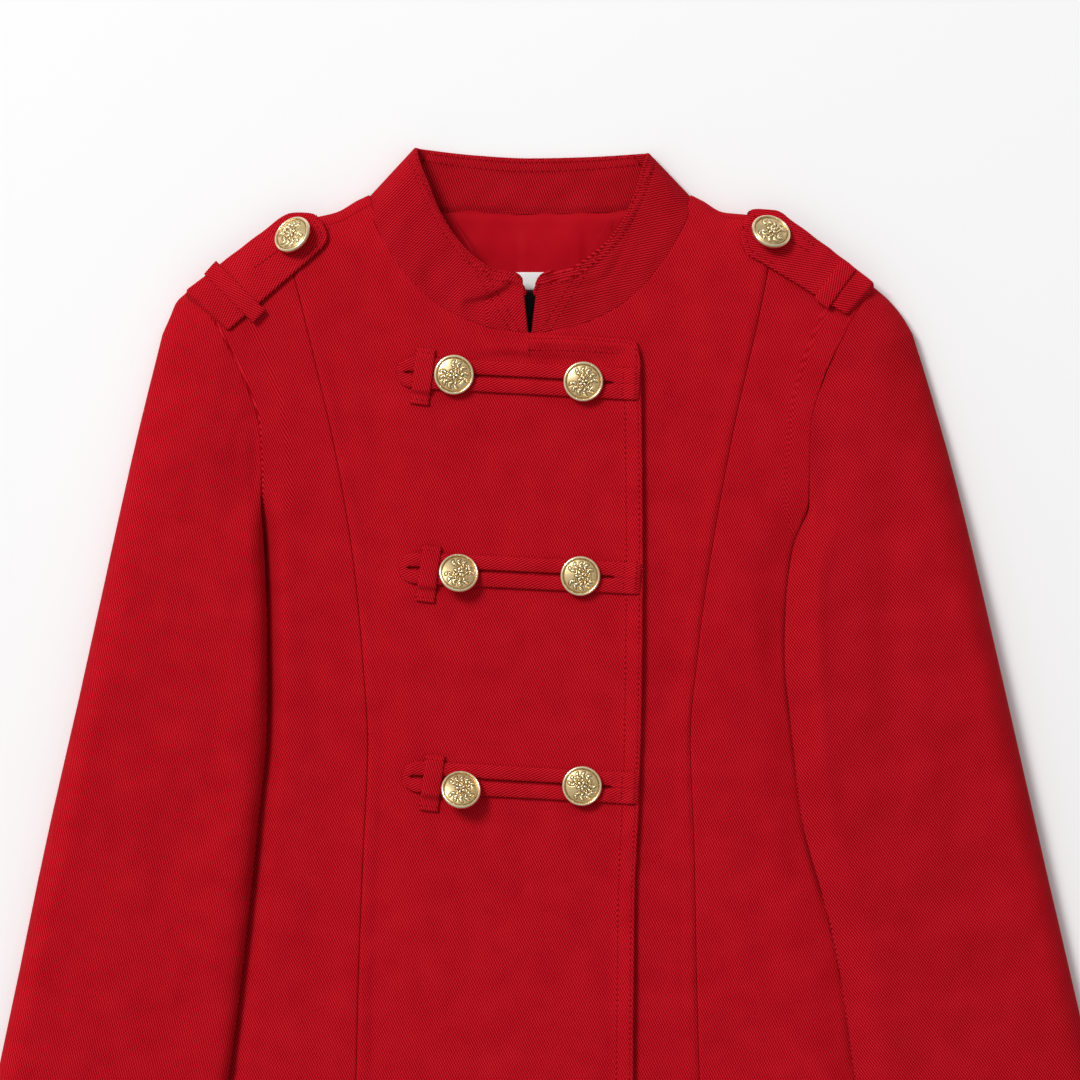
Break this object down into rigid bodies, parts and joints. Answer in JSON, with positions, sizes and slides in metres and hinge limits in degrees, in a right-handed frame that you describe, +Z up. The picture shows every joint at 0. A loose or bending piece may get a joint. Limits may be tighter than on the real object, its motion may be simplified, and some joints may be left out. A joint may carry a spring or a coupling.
{
  "type": "blazer",
  "caption": "Stand-collar blazer laid out face up, with long sleeves, princess seams, buttoned straps across the front and buttoned shoulder straps.",
  "frame": {"origin": "middle of the outline, on the surface that the blazer lies on", "axes": "+Z up out of the surface, +Y towards the collar, the wearer's left side at +X"},
  "size_m": [0.6662, 0.6744, 0.0334],
  "materials": {
    "twill": "red diagonal twill, matt",
    "lining": "red plain-weave lining, slightly lighter than the twill",
    "white_label": "white woven label, bare",
    "black_label": "black woven label, bare",
    "gold": "pale gold, polished relief"
  },
  "bodies": {
    "root": {"back": "twill", "front_side_right": "twill", "front_side_left": "twill", "front_centre_right": "twill", "front_centre_left": "twill", "sleeve_top_right": "twill", "sleeve_top_left": "twill", "sleeve_under_right": "twill", "sleeve_under_left": "twill", "collar": "twill", "collar_facing": "twill", "epaulette_right": "twill", "epaulette_left": "twill", "epaulette_keeper_right": "twill", "epaulette_keeper_left": "twill", "button_loop_1": "twill", "loop_keeper_1": "twill", "button_inner_1": "gold", "button_outer_1": "gold", "button_loop_2": "twill", "loop_keeper_2": "twill", "button_inner_2": "gold", "button_outer_2": "gold", "button_loop_3": "twill", "loop_keeper_3": "twill", "button_inner_3": "gold", "button_outer_3": "gold", "button_epaulette_right": "gold", "button_epaulette_left": "gold", "back_lining": "lining", "neck_label_upper": "white_label", "neck_label_lower": "black_label"}
  },
  "joints": []
}
